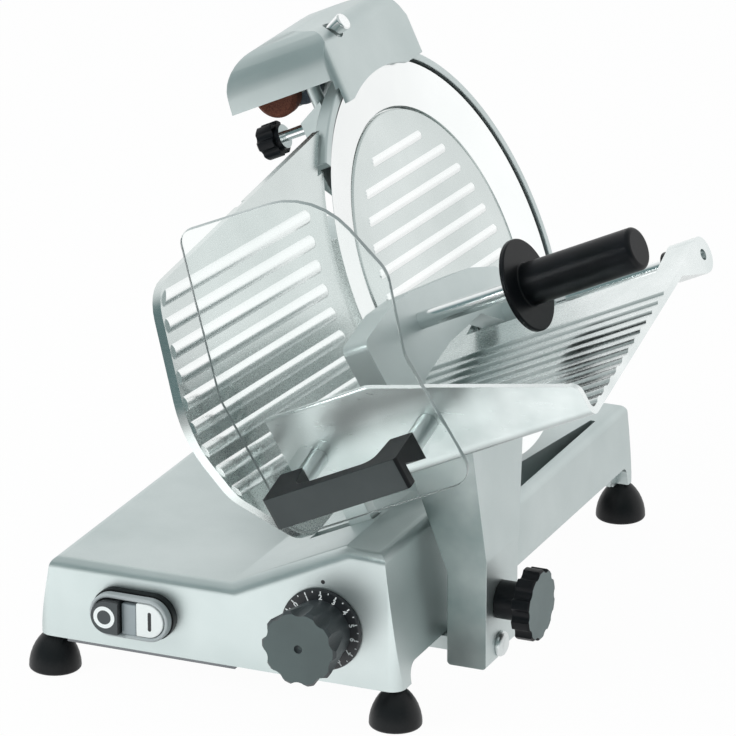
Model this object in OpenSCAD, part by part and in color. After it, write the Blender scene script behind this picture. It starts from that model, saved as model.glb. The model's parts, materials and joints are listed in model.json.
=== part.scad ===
// Electric food slicer with a leaning round blade, a sliding food tray and a built-in sharpener.
// Millimetres, +Z up. The machine's front is -Y, the food tray is on the +X side.
// The blade leans: its own frame has X to the back, Y up along the blade and Z out of the
// blade towards the food. Most of the upper works are drawn in that frame.

/* [Stand] */
// Place of the feet's centre, right of the middle of the whole outline
stance_x = -67.4; // [-110:0.1:-50]
// Place of the feet's centre, behind the middle of the whole outline
stance_y = 48.4; // [40:0.1:80]
// Distance from the base's sides to the feet's centres
foot_side = 8; // [5:0.5:17]
// Distance from the base's front to the front feet's centres
foot_front = 11; // [8:0.5:20]
// Distance from the base's back to the back feet's centres
foot_back = 9; // [5:0.5:20]
// Height of a rubber foot
foot_h = 28; // [24:1:34]
// Radius of a foot on the table
foot_r = 18.5; // [16:0.5:20]
// Radius of the foot's screw shank
foot_screw_r = 3; // [2.5:0.25:4]

/* [Base] */
// Width of the base along its lower rim
base_w = 274; // [264:1:290]
// Depth of the base, front to back
base_d = 446; // [430:1:460]
// Height of the slice platform above the table
platform_z = 87; // [82:1:92]
// Height of the control housing above the table
housing_z = 127; // [122:1:134]
// Depth of the control housing from the front
housing_d = 164; // [150:1:175]
// Wall of the casting
base_wall = 6; // [5:0.5:7]
// Rounding of the casting's top edges
edge_r = 8; // [5:0.5:9]
// Rounding of the casting's upright corners
corner_r = 10; // [8:1:16]
// Lean of the left wall from rim to platform
draft_left = 11; // [6:0.5:12]
// Lean of the right wall from rim to housing top
draft_right = 12; // [8:0.5:13]
// Place of the ramp's lower end, right of the middle
ramp_x = 8; // [2:1:14]
// Height of the right wall's lower edge
arm_gap_z = 42; // [41:0.5:46]
// Thickness of the bottom plate
bottom_plate_t = 3; // [2:0.5:4]

/* [Blade] */
// Radius of the blade
blade_r = 150; // [144:1:152]
// Lean of the blade from upright
lean = 25; // [24:0.5:26]
// Place of the blade's centre: right, back, up
blade_c = [44.6, 80, 232.1];
// Width of the ground rim that shows round the cover
blade_rim = 33; // [28:1:36]
// Thickness of the blade's plate
blade_t = 2; // [1.5:0.25:2.25]
// Gap between the blade's edge and the ring guard
ring_gap = 2.6; // [2:0.2:4]
// Thickness of the ring guard's rim
ring_t = 6.4; // [5:0.2:8]
// Thickness of the cover plate
cover_t = 3.5; // [3:0.25:3.75]

/* [Drive] */
// Distance from the blade's shaft down to the motor's
drive_pitch = 62; // [60:0.5:64]
// Radius of the blade's pulley
big_pulley_r = 40; // [34:1:42]
// Radius of the motor's pulley
small_pulley_r = 14; // [12:0.5:16]
// Width of the pulleys
pulley_w = 10; // [8:0.5:11]
// Half width of the drive housing
tower_r = 58; // [56:1:62]
// Wall of the drive housing
tower_wall = 5; // [4:0.5:6]
// Radius of the motor
motor_r = 42; // [38:1:44]
// Radius of the blade's shaft
shaft_r = 9.95; // [8.95:0.5:10.95]
// Radius of the motor's shaft
motor_shaft_r = 7; // [6:0.5:8]

/* [Gauge] */
// Slice thickness set at rest
slice_t = 2; // [1:0.5:6]
// Turn of the dial for each millimetre of slice
dial_deg = 24.5; // [22:0.5:25]
// Thickest slice
slice_max = 14; // [12:1:14]
// Thickness of the gauge plate between its ribs
gauge_t = 3.5; // [3:0.5:7]
// Distance between the gauge plate's ribs
gauge_rib_pitch = 17; // [16:0.5:20]
// Radius of the gauge plate's guide rod
gauge_rod_r = 8; // [7:0.5:9]

/* [Carriage] */
// Radius of the carriage's guide rod
rod_r = 7; // [6:0.5:7.5]
// Place of the guide rod, right of the middle
rod_x = 118; // [116:0.5:119]
// Height of the guide rod above the table
rod_z = 44; // [43:0.5:46]
// Depth of the slide block along the rod
block_d = 60; // [50:1:64]
// Place of the carriage along the rod at rest
carriage_y = -143; // [-146:1:-135]
// Left face of the carriage arm's foot
arm_x = 143; // [142:0.5:146]
// Width of the carriage arm's foot
arm_w = 29; // [26:0.5:32]
// Height of the arm's lower end above the table
arm_z = 25; // [22:0.5:26]

/* [Tray] */
// Length of the tray along the food's way
tray_l = 222; // [210:1:230]
// Depth of the tray's floor from the fold to its back edge
floor_l = 213; // [205:1:218]
// Slope of the floor to the back
floor_tilt = 10; // [9:0.5:11]
// Height of the front wall at the blade
wall_h = 66; // [60:1:76]
// Height of the front wall at its far end
wall_low = 22; // [18:1:34]
// Thickness of the tray
tray_t = 5; // [4:0.5:6]
// Gap between the blade's plane and the tray
tray_gap = 4; // [3:0.5:6]
// Number of ribs on the floor
floor_ribs = 12; // [8:1:13]
// Thickness of the clear hand guard
guard_t = 4; // [3:0.5:5]
// Distance from the front wall to the hand guard
post_l = 35; // [30:1:40]
// Radius of the handle's posts
post_r = 7; // [6:0.5:8]
// Length of the tray's handle
handle_l = 105; // [98:1:116]
// Height of the tray's handle
handle_h = 23; // [18:1:24]

/* [Pusher] */
// Radius of the pusher's slide rod
slide_r = 6; // [5:0.5:7]
// Thickness of the press plate
press_t = 19; // [16:1:20]
// Distance from the tray's end to the press plate
press_z = 48.5; // [47.5:0.5:52]
// Radius of the grip
grip_r = 15; // [13:0.5:17]
// Length of the grip
grip_l = 87; // [74:1:100]
// Radius of the grip's hand shield
shield_r = 32.5; // [28:0.5:36]

/* [Sharpener] */
// Width of the hood, front to back
hood_w = 135; // [130:1:140]
// Thickness of the hood
hood_t = 3; // [2.5:0.5:4]
// Radius of the grinding stone
grind_r = 17; // [15:0.5:17.5]
// Radius of the honing stone
hone_r = 12; // [10:0.5:12.5]

/* [Controls] */
// Place of the dial's centre, right of the middle
dial_x = 79.5; // [75:0.5:81]
// Height of the dial's centre
dial_z = 67; // [66:0.5:68]
// Radius of the dial's disc
dial_r = 29.5; // [28:0.5:33]
// Radius of the knob at its front
knob_r = 27.5; // [24:0.5:28.5]
// Radius of the knob at the dial
knob_base_r = 22; // [18:0.5:24]
// Distance from the base to the knob's front
knob_out = 41; // [36:1:44]
// Number of finger hollows round the knob
knob_lobes = 10; // [8:1:12]
// Place of the switch, right of the middle
switch_x = -60.5; // [-68:0.5:-58]
// Height of the switch
switch_z = 56.5; // [50:0.5:58]
// Length of the switch's bezel
switch_l = 60; // [58:0.5:66]
// Height of the switch's bezel
switch_h = 31; // [29:0.5:33]
// Travel of a button
button_travel = 4; // [3:0.5:4]

/* [Hidden] */
$fn = 96;

// Clearances
run = 0.05;
gap = 0.5;
slip = 0.3;
cut = 1;
far = 600;

// Base, measured from the middle of the four feet
foot_pitch_x = base_w - 2 * foot_side;
foot_pitch_y = base_d - foot_front - foot_back;
front_y = -foot_pitch_y / 2 - foot_front;
back_y = front_y + base_d;
half_w = base_w / 2;
rim_z = foot_h;
top_left_x = -half_w + draft_left;
top_right_x = half_w - draft_right;
right_slope = draft_right / (housing_z - rim_z);
right_low_x = half_w - right_slope * (platform_z - rim_z);
housing_y = front_y + housing_d;
housing_rise = housing_z - platform_z;
housing_step = 0.4;
ramp_foot = 15;
ramp_w = [-sin(lean), cos(lean)] * [ramp_x, platform_z];
inner_front = front_y + base_wall;
inner_back = back_y - base_wall;

// Switch
bezel_t = 7;
gasket_t = 6;
button_h = switch_h - 7;
window_h = button_h + 2 * gap;
button_l = 20.5;
lens_l = switch_l - 2 * (button_l + 3.5) - 2 * gap;

// Drive housing and the stack along the blade's axis, in the blade's frame
tower_back = -118;
tower_front = -45;
tower_face = 6;
rear_cover_t = 4;
boss_r = 44;
web_back = -20;
web_t = 4;
hub_t = 3.5;
blade_back = -11;
bearing_w = 12;
bearing_r = 21;
pulley_back = tower_front - tower_face - 1 - pulley_w;
motor_front = pulley_back - 4;
motor_back = motor_front - 46;
belt_t = 2.5;
tie_r = 4;
ring_in = blade_r + ring_gap;
ring_out = ring_in + ring_t;
ring_face = 2;
ring_from = -50;
ring_to = 136;
rim_slope = 28;
cover_r = blade_r - blade_rim - 2;
cover_face = -5;
// height and half length of each pressed rib
cover_ribs = [[87.5, 40], [70, 67], [52, 78], [34, 87], [16.5, 91], [-1, 95], [-18.5, 91], [-36, 86],
    [-53.5, 76], [-71, 60]];
cover_rib_r = 5;
cover_rib_h = 1.2;

// Gauge plate, its rod and the dial's cam
gauge_face = -slice_t;
rib_h = 2;
gauge_lip = 3;
gauge_rib_r = 7;
gauge_rib_tilt = 2.8;
gauge_rib_mid = 10;
dial_n = cos(lean) * dial_x + sin(lean) * dial_z;
dial_w = -sin(lean) * dial_x + cos(lean) * dial_z;
blade_n = cos(lean) * blade_c.x + sin(lean) * blade_c.z;
blade_w = -sin(lean) * blade_c.x + cos(lean) * blade_c.z;
gauge_a = front_y + 74 - blade_c.y;
gauge_b = ramp_w - 21 - blade_w;
rod_seat_t = 12;
rod_seat_low = gauge_face - 86;
rod_seat_high = gauge_face - 2;
post_w = 12;
cam_r = 28;
cam_t = 8;
groove_r = 3.3;
groove_depth = 5;
groove_start = 9;
pin_r = 2.8;
dial_shaft_r = 5;
dial_t = 3;
flute_r = 8;
flute_depth = 3.5;

// Carriage
block_r = rod_r + 3.5;
bar_x = rod_x - 21;
bar_w = 9;
bar_z = rod_z + 3;
bar_h = 6;
pocket_z = rod_z + block_r + 6.5;
pocket_floor = 4.5;
lug_d = 12;
lug_front = front_y + 22;
lug_back = back_y - 22;
bolt_y = carriage_y + 12;
bolt_z = rod_z - 8;
bolt_r = 3.4;
knob_y = carriage_y + 12;
knob_z = 69;
arm_d = 57;
arm_top_d = 91;
arm_knee_z = 98;
arm_head_z = 190;
arm_top = 260;
arm_lean = 18;
arm_in = 60;

// Tray, in the blade's frame and in its own
tray_a = carriage_y - 97 - blade_c.y;
tray_b = 118 - blade_w;
wall_flat = 78;
wall_r = 8;
floor_rib_r = 6.4;
floor_rib_h = 1.6;
rod_at = [floor_l + 31, -10.5];
lug_r = 13;
lug_t = 22;
handle_z = 66.5;
handle_y = 28.5;
handle_arm = 18;
post_pitch = handle_l - handle_arm;
guard_x = -tray_t - post_l;
guard_h = 222;
guard_w = 158;
guard_mid = 104;
guard_low = 6;
handle_reach = 37;
handle_bar = 9.5;
sleeve_r = slide_r + 4;
sleeve_z = press_z - 2.5;
sleeve_l = 64;
collar_t = 3;
hub_r = sleeve_r + 5;
handle_at = [floor_l - 87, 51];
rod_out = 83;
shield_t = 4;

// Sharpener, in the blade's frame
hood_a = -60;
hood_face = 7;
hood_low = blade_r - 12;
hood_side_low = blade_r + 7;
hood_top = blade_r + 48.5;
hood_end = -83;
post_a = -38;
post_c = -26;
stem_r = 5;
post_low = blade_r - 38;
clamp_b = blade_r - 22;
lug_c = post_c - 15;
arm_b = blade_r + 10;
plate_a = -12;
grind_a = -28;
grind_b = blade_r + 8;
grind_c = -57;
hone_a = -16;
spindle_r = 3;
hone_b = blade_r + 4.6;
hone_c = -41.5;
button_a = hood_a + 30;
button_b = hood_top - 14;
button_c = -4;
button_tilt = 18;
button_out = 18;
hood_slant = 5;
hood_edge_r = 9;
skin = 0.3;

// Unit vector of v
function unit(v) = v / norm(v);

// Points of a fillet of radius r at corner q between neighbours p and s
function fillet(p, q, s, r, steps) =
    let (u = unit(p - q), v = unit(s - q), half = acos(u * v) / 2)
    let (centre = q + unit(u + v) * r / sin(half))
    let (from = q + u * r / tan(half) - centre, to = q + v * r / tan(half) - centre)
    let (a0 = atan2(from.y, from.x), turn = atan2(to.y, to.x) - a0)
    let (sweep = turn > 180 ? turn - 360 : turn < -180 ? turn + 360 : turn)
    [for (i = [0:steps]) centre + r * [cos(a0 + sweep * i / steps), sin(a0 + sweep * i / steps)]];

// Outline through corners [x, y, radius], each rounded to its radius
function rounded(corners, steps = 6) =
    let (n = len(corners))
    [for (i = [0:n - 1])
        let (q = corners[i], p = corners[(i + n - 1) % n], s = corners[(i + 1) % n])
        each q.z > 0
            ? fillet([p.x, p.y], [q.x, q.y], [s.x, s.y], q.z, steps)
            : [[q.x, q.y]]];

// Outline of a belt of radii r1 and r2 whose second pulley lies d below the first
function belt_line(r1, r2, d, steps = 24) =
    let (t = asin((r1 - r2) / d))
    concat([for (i = [0:steps]) r1 * [cos(-t + (180 + 2 * t) * i / steps),
                                      sin(-t + (180 + 2 * t) * i / steps)]],
           [for (i = [0:steps]) [0, -d] + r2 * [cos(180 + t + (180 - 2 * t) * i / steps),
                                               sin(180 + t + (180 - 2 * t) * i / steps)]]);

// Frame of the four feet
module stance() { translate([stance_x, stance_y, 0]) children(); }

// Blade's leaning frame, measured from the feet
module lean_frame() { translate(blade_c) rotate([0, 90 - lean, 0]) rotate([0, 0, 90]) children(); }

// Frame of the blade: X to the back, Y up along the blade, Z towards the food
module blade_frame() { stance() lean_frame() children(); }

// Frame of the tray: X back along the floor, Y square to the floor, Z along the food's way
module tray_frame() {
    blade_frame() translate([tray_a, tray_b, tray_gap]) rotate([0, 0, floor_tilt]) children();
}

// An outline drawn in X and Z, run from y0 back to y1
module along_y(y0, y1) {
    translate([0, y1, 0]) rotate([90, 0, 0]) linear_extrude(y1 - y0) children();
}

// An outline drawn in Y and Z, run from x0 to x1
module along_x(x0, x1) {
    translate([x0, 0, 0]) rotate([90, 0, 90]) linear_extrude(x1 - x0) children();
}

// An outline drawn in Z and Y of a leaning frame, run back along X from x1 to x0
module across(x0, x1) {
    translate([x1, 0, 0]) rotate([0, -90, 0]) linear_extrude(x1 - x0) children();
}

// A disc from z0 to z1
module disc(r, z0, z1) { translate([0, 0, z0]) cylinder(r = r, h = z1 - z0); }

// A disc about the Y axis from y0 to y1
module disc_y(r, y0, y1) { translate([0, y1, 0]) rotate([90, 0, 0]) cylinder(r = r, h = y1 - y0); }

// A box between two corners
module block(low, high) { translate(low) cube(high - low); }

// A flat outline with two round ends
module stadium(l, h) {
    square([l - h, h], center = true);
    for (x = [-1, 1]) translate([x * (l - h) / 2, 0]) circle(d = h);
}

// A round knob with finger hollows of a depth, from z0 to z1
module lobed_knob(r, z0, z1, lobes, hollow, depth) {
    chamfer = (z1 - z0) / 10;
    difference() {
        union() {
            disc(r, z0, z1 - chamfer);
            translate([0, 0, z1 - chamfer]) cylinder(r1 = r, r2 = r - chamfer, h = chamfer);
        }
        for (i = [0:lobes - 1])
            rotate([0, 0, (i + 0.5) * 360 / lobes]) translate([r + hollow - depth, 0, 0])
                disc(hollow, z0 - cut, z1 + cut);
    }
}

// Places of the feet
module at_feet() {
    for (x = [-1, 1], y = [-1, 1])
        translate([x * foot_pitch_x / 2, y * foot_pitch_y / 2, 0]) children();
}

// Upper side of the base seen from the side, between two depths, with rounded top edges
module side_profile(y0, y1, top, r) {
    polygon(rounded([[y0, 0, 0], [y1, 0, 0], [y1, top, r], [y0, top, r]]));
}

// Low part of the base seen from the front, drawn in by inset
module low_profile(inset) {
    r = max(edge_r - inset, 1);
    right = inset + housing_step;
    polygon(rounded([[-half_w + inset, rim_z - (inset > 0 ? cut : 0), 0],
        [half_w - right, rim_z - (inset > 0 ? cut : 0), 0],
        [right_low_x - right, platform_z - inset, r], [top_left_x + inset, platform_z - inset, r]]));
}

// Hollow of the control housing seen from the front
module high_hollow() {
    run_x = housing_rise / tan(lean);
    polygon([[ramp_x + base_wall, rim_z - cut], [half_w - base_wall, rim_z - cut],
        [top_right_x - base_wall, housing_z - base_wall],
        [ramp_x + run_x + base_wall / 2, housing_z - base_wall],
        [ramp_x + base_wall, platform_z - base_wall * 0.7]]);
}

// The base's outside, before it is hollowed
module base_outside() {
    intersection() {
        linear_extrude(housing_z + cut)
            polygon(rounded([[-half_w, front_y, corner_r], [half_w, front_y, corner_r],
                [half_w, back_y, corner_r], [-half_w, back_y, corner_r]]));
        union() {
            intersection() {
                along_y(front_y, back_y) low_profile(0);
                along_x(-half_w, half_w) side_profile(front_y, back_y, platform_z, edge_r);
            }
            intersection() {
                along_y(front_y, housing_y)
                    polygon(rounded([[ramp_x - ramp_foot, rim_z, 0], [half_w, rim_z, 0],
                        [top_right_x, housing_z, edge_r], [ramp_x - ramp_foot, housing_z, 0]]));
                along_x(-half_w, half_w)
                    polygon(rounded([[front_y, 0, 0], [housing_y, 0, 0],
                        [housing_y, platform_z - edge_r, 0],
                        [housing_y - housing_rise, housing_z, edge_r],
                        [front_y, housing_z, edge_r]]));
                // the ramp, parallel to the gauge plate's way
                rotate([0, -lean, 0]) translate([0, 0, -far]) along_x(-far, far)
                    side_profile(front_y, housing_y, ramp_w + far, edge_r + 2);
            }
        }
    }
}

// The hollow under the base, less the corner posts and the guide rod's lugs
module base_hollow() {
    difference() {
        union() {
            along_y(inner_front, inner_back) low_profile(base_wall);
            along_y(inner_front, housing_y - housing_rise - base_wall) high_hollow();
        }
        at_feet() disc(13, rim_z - 2 * cut, platform_z);
        translate([0, 0, pocket_z - pocket_floor]) linear_extrude(far) side_pocket(base_wall);
        // seats of the gauge plate's rod, under the ramp
        lean_frame() translate([gauge_a, gauge_b, 0]) for (c = [rod_seat_low, rod_seat_high])
            block([-12, -12, c], [12, 40, c + rod_seat_t]);
        for (y = [lug_front, lug_back])
            block([bar_x - 3, y - lug_d / 2, rod_z - 14], [half_w, y + lug_d / 2, rod_z + 18]);
    }
}

// Outline of the pocket beside the right wall, grown by a wall
module side_pocket(grow) {
    right = half_w - 15;
    y0 = housing_y + edge_r - grow;
    y1 = back_y - 45 + grow;
    polygon(rounded([[right - 37 - grow, y0, 4], [right + grow, y0, 4], [right + grow, y1, 1],
        [right - 4 - grow, y1, 1]]));
}

// The open bay behind the right-hand side of the drive housing
module rear_bay() {
    linear_extrude(far)
        polygon(rounded([[30, back_y + cut, 0], [30, 150, 10], [67, 150, 6], [67, 62, 8],
            [bar_x - 5, 52, 8], [bar_x - 5, back_y + cut, 0]]));
}

// One hollow, cast base with a raised control housing
module base_casting() {
    color("silver") stance() difference() {
        base_outside();
        base_hollow();
        translate([0, 0, pocket_z]) linear_extrude(far) side_pocket(0);
        rear_bay();
        // raised lower edge of the right wall, where the carriage passes under
        along_x(half_w - base_wall - 3, half_w + cut)
            polygon(rounded([[front_y + 20, 0, 0], [back_y - 14, 0, 0],
                [back_y - 14, arm_gap_z, 6], [front_y + 20, arm_gap_z, 10]]));
        at_feet() disc(foot_screw_r, 0, rim_z + 14);
        // room for the slide block along the right wall
        block([rod_x, lug_front + lug_d / 2, rod_z - block_r - gap],
              [rod_x + block_r + gap, lug_back - lug_d / 2, rod_z + block_r + gap]);
        // guide rod and guide bar
        translate([rod_x, 0, rod_z]) disc_y(rod_r, lug_front - lug_d, lug_back + lug_d / 2 - 2);
        block([bar_x, lug_front - lug_d, bar_z], [bar_x + bar_w, lug_back + lug_d / 2 - 2, bar_z + bar_h]);
        // dial shaft, switch and cable gland
        translate([dial_x, 0, dial_z]) disc_y(dial_shaft_r + run, front_y - cut, inner_front + cut);
        translate([switch_x, 0, switch_z]) along_y(front_y - cut, inner_front + cut)
            stadium(switch_l - 6, window_h);
        translate([-half_w / 2, 0, rim_z + 24]) disc_y(8, inner_back - cut, back_y + cut);
        gauge_slot();
    }
}

// The slot in the ramp for the gauge plate's arm, and the bores of its rod
module gauge_slot() {
    lean_frame() translate([gauge_a, gauge_b, 0]) {
        block([-post_w / 2 - gap, 10, gauge_face - 57],
              [post_w / 2 + gap, 60, gauge_face - rib_h - gauge_t + slice_t + gap]);
        disc(gauge_rod_r, rod_seat_low, rod_seat_high + rod_seat_t - 3);
    }
}

// Thin plate that closes the left side from below
module bottom_plate() {
    color("dimgray") stance()
        block([-half_w + 22, front_y + 2, rim_z - bottom_plate_t], [13, inner_back, rim_z]);
}

// Four rubber feet
module feet() {
    top_r = foot_screw_r + 1.5;
    foot_edge = 1.5;
    color([0.08, 0.08, 0.08]) stance() at_feet() difference() {
        rotate_extrude()
            polygon(concat([[0, 0], [foot_r - foot_edge, 0], [foot_r, foot_edge]],
                [for (i = [1:9]) [top_r + (foot_r - top_r) * pow(cos(10 * i), 1.5),
                                  foot_edge + (foot_h - foot_edge) * sin(10 * i)]],
                [[0, foot_h]]));
        disc(foot_screw_r + 3.5, -cut, 8);
        disc(foot_screw_r + run, 0, foot_h + cut);
    }
}

// Four screws that hold the feet
module foot_screws() {
    color("gray") stance() at_feet() {
        disc(foot_screw_r + 3, 4, 8);
        disc(foot_screw_r, 4, rim_z + 14);
    }
}

// A switch outline run out of the base's front, from y0 in to y1 in front of the wall
module switch_slab(l, h, out0, out1) {
    stance() translate([switch_x, 0, switch_z]) along_y(front_y - out1, front_y - out0) stadium(l, h);
}

// Black rubber gasket behind the switch
module switch_gasket() {
    color([0.1, 0.1, 0.1]) difference() {
        switch_slab(switch_l + 2, switch_h + 2, 0, gasket_t);
        switch_slab(switch_l - 6, window_h, -cut, gasket_t + cut);
    }
}

// Grey bezel with windows for the two buttons and the lamp
module switch_bezel() {
    color("lightgray") difference() {
        switch_slab(switch_l, switch_h, gasket_t, gasket_t + bezel_t);
        switch_slab(switch_l - 6, window_h, gasket_t - cut, gasket_t + bezel_t + cut);
    }
}

// Lamp lens between the buttons, on a carrier that bears on the contact block
module pilot_lens() {
    color("slategray") stance() translate([switch_x, 0, switch_z])
        block([-lens_l / 2, front_y - gasket_t - bezel_t + 0.5, -button_h / 2 - gap],
              [lens_l / 2, inner_front, button_h / 2 - 2]);
}

// Place of a button's stem, left or right of the lens
function stem_x(side) = side * (lens_l / 2 + gap + button_l / 2);

// Contact block behind the switch, with holes for the buttons' stems
module contact_block() {
    color([0.15, 0.15, 0.15]) stance() translate([switch_x, 0, switch_z]) difference() {
        block([-switch_l / 2, inner_front, -switch_h / 2], [switch_l / 2, inner_front + 34, switch_h / 2]);
        for (side = [-1, 1])
            translate([stem_x(side), 0, 0]) disc_y(4.5, inner_front - cut, inner_front + 24);
    }
}

// One half-round button of the switch, with its stem
module switch_button(side, proud) {
    stance() translate([switch_x, 0, switch_z]) {
        intersection() {
            along_y(front_y - gasket_t - proud, front_y - gasket_t + 2)
                stadium(switch_l - 6 - 2 * gap, button_h);
            mirror([side < 0 ? 1 : 0, 0, 0])
                block([lens_l / 2 + gap, -far, -far], [far, far, far]);
        }
        translate([stem_x(side), 0, 0]) disc_y(3.5, front_y - gasket_t, inner_front + 14);
    }
}

// White start button, nearly level with the bezel
module start_button() { color("white") switch_button(1, bezel_t + 0.5); }

// Black stop button, which stands proud
module stop_button() { color([0.12, 0.12, 0.12]) switch_button(-1, bezel_t + 5); }

// Round steel rod that carries the carriage
module guide_rod() {
    color("gainsboro") stance() translate([rod_x, 0, rod_z])
        disc_y(rod_r, lug_front - lug_d / 2, lug_back + lug_d / 2 - 2);
}

// Flat bar that keeps the carriage from tipping
module guide_bar() {
    color("gainsboro") stance()
        block([bar_x, lug_front - lug_d / 2, bar_z], [bar_x + bar_w, lug_back + lug_d / 2 - 2, bar_z + bar_h]);
}

// Tombstone outline of the drive housing, drawn in by inset
module tower_outline(inset) {
    r = tower_r - inset;
    circle(r = r);
    translate([-r, -far / 3]) square([2 * r, far / 3]);
}

// Everything above the platform
module above_platform(clear = 0) {
    stance() translate([-far / 2, -far / 2, platform_z + clear]) cube(far);
}

// Places of the motor's four mounting legs
module at_motor_legs() {
    for (p = [[-1, 0.12], [1, 0.12], [-0.72, -0.78], [0.72, -0.78]])
        translate([p.x * (motor_r + 3), -drive_pitch + p.y * (motor_r + 3), 0]) children();
}

// Places of the rear cover's screws
module at_cover_screws() {
    for (x = [-1, 1], y = [0, -72]) translate([x * (tower_r - 8), y, 0]) children();
    translate([0, tower_r - 8, 0]) children();
}

// Housing that carries the blade's bearings and covers the motor
module drive_housing() {
    color("silver") intersection() {
        blade_frame() difference() {
            union() {
                translate([0, 0, tower_back]) linear_extrude(tower_front - tower_back) tower_outline(0);
                disc(boss_r, tower_front - cut, web_back);
            }
            difference() {
                translate([0, 0, tower_back - cut])
                    linear_extrude(tower_front - tower_face - tower_back + cut) tower_outline(tower_wall);
                at_cover_screws() disc(5.5, tower_back, tower_back + 14);
            }
            at_cover_screws() disc(2, tower_back - cut, tower_back + 10);
            disc(bearing_r, tower_front - tower_face - cut, web_back + cut);
        }
        above_platform();
    }
}

// Plate that closes the drive housing at the back
module rear_cover() {
    color("silver") intersection() {
        blade_frame() difference() {
            translate([0, 0, tower_back - rear_cover_t]) linear_extrude(rear_cover_t) tower_outline(0);
            disc(tie_r + gap, tower_back - rear_cover_t - cut, tower_back + cut);
            at_cover_screws() disc(2.2, tower_back - rear_cover_t - cut, tower_back + cut);
        }
        above_platform();
    }
}

// Screws of the rear cover
module cover_screws() {
    color("gray") blade_frame() at_cover_screws() {
        disc(4, tower_back - rear_cover_t - 3, tower_back - rear_cover_t);
        disc(2, tower_back - rear_cover_t, tower_back + 9);
    }
}

// Cast plate behind the blade, with the guard rim round the blade's edge
module ring_guard() {
    color("silver") blade_frame() rotate([0, 0, ring_from])
        rotate_extrude(angle = ring_to - ring_from)
            polygon([[shaft_r + 4, web_back], [ring_out - rim_slope, web_back], [ring_out, ring_face - 11],
                [ring_out, ring_face - 1], [ring_out - 1, ring_face], [ring_in, ring_face],
                [ring_in, ring_face - 9], [ring_out - rim_slope - web_t, web_back + web_t],
                [shaft_r + 4, web_back + web_t]]);
}

// Two ball bearings of the blade's shaft
module bearings() {
    color("gainsboro") blade_frame()
        for (z = [web_back - 1 - bearing_w, tower_front - tower_face + 1]) difference() {
            disc(bearing_r, z, z + bearing_w);
            disc(shaft_r + run, z - cut, z + bearing_w + cut);
            for (e = [z - cut, z + bearing_w - 0.8]) difference() {
                disc(bearing_r - 4, e, e + 0.8 + cut);
                disc(shaft_r + 4, e, e + 0.8 + cut);
            }
        }
}

// Motor with its mounting legs
module motor() {
    color("dimgray") blade_frame() difference() {
        union() {
            translate([0, -drive_pitch, 0]) {
                disc(motor_r, motor_back, motor_front - 6);
                disc(motor_r - 8, motor_front - 6, motor_front);
            }
            at_motor_legs() disc(4, motor_front - 14, tower_front - tower_face);
        }
        translate([0, -drive_pitch, 0]) {
            disc(motor_shaft_r + run, motor_front - 30, motor_front + cut);
            for (i = [0:17]) rotate([0, 0, i * 20])
                translate([motor_r, 0, 0]) disc(1.5, motor_back - cut, motor_front - 10);
        }
    }
}

// Flat drive belt, which runs clear of the pulleys' rims
module drive_belt() {
    color([0.12, 0.12, 0.12]) blade_frame()
        translate([0, 0, pulley_back + 1]) linear_extrude(pulley_w - 2) difference() {
            polygon(belt_line(big_pulley_r + slip + belt_t, small_pulley_r + slip + belt_t, drive_pitch));
            polygon(belt_line(big_pulley_r + slip, small_pulley_r + slip, drive_pitch));
        }
}

// Plate that covers the middle of the blade, with pressed ribs
module blade_cover() {
    color("gainsboro") blade_frame() {
        difference() {
            translate([0, 0, cover_face - cover_t]) {
                disc(cover_r, 0, cover_t - 1);
                translate([0, 0, cover_t - 1]) cylinder(r1 = cover_r, r2 = cover_r - 1.5, h = 1);
            }
            disc(tie_r, cover_face - cover_t - cut, cover_face - 2);
        }
        intersection() {
            disc(cover_r - 6, cover_face - 2, cover_face + 2);
            rotate([0, 0, -2]) for (rib = cover_ribs)
                translate([0, rib.x, cover_face + cover_rib_h - cover_rib_r]) {
                    rotate([0, 90, 0]) cylinder(r = cover_rib_r, h = 2 * rib.y, center = true);
                    for (side = [-1, 1]) translate([side * rib.y, 0, 0]) sphere(r = cover_rib_r);
                }
        }
    }
}

// Rod that draws the blade's cover home from behind
module cover_tie_rod() {
    color("gainsboro") blade_frame() disc(tie_r, tower_back - rear_cover_t - 22, cover_face - 2);
}

// Knob behind the machine that frees the blade's cover
module cover_knob() {
    z0 = tower_back - rear_cover_t - 26;
    color([0.1, 0.1, 0.1]) blade_frame() difference() {
        mirror([0, 0, 1]) translate([0, 0, -z0 - 26]) {
            disc(10, slip, 8);
            lobed_knob(20, 8, 26, 6, 5, 2.5);
        }
        disc(tie_r + run, z0 + 3.5, z0 + 27);
    }
}

// Curved sheet that throws the slices down behind the blade
module slice_deflector() {
    bend = 46;
    sheet = 2;
    low = -70;
    start = web_back - web_t;
    color("gainsboro") intersection() {
        blade_frame() translate([-tower_r, low, start]) rotate([-90, 0, 0]) linear_extrude(-low + 50) {
            translate([-sheet, 0]) square([sheet, 60]);
            translate([-bend - sheet, 0]) intersection() {
                difference() {
                    circle(r = bend + sheet);
                    circle(r = bend);
                }
                square(bend + sheet);
            }
        }
        above_platform(4);
    }
}

// Rod that guides the gauge plate
module gauge_rod() {
    color("gainsboro") blade_frame() translate([gauge_a, gauge_b, 0])
        disc(gauge_rod_r, rod_seat_low, rod_seat_high + rod_seat_t - 3);
}

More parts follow.
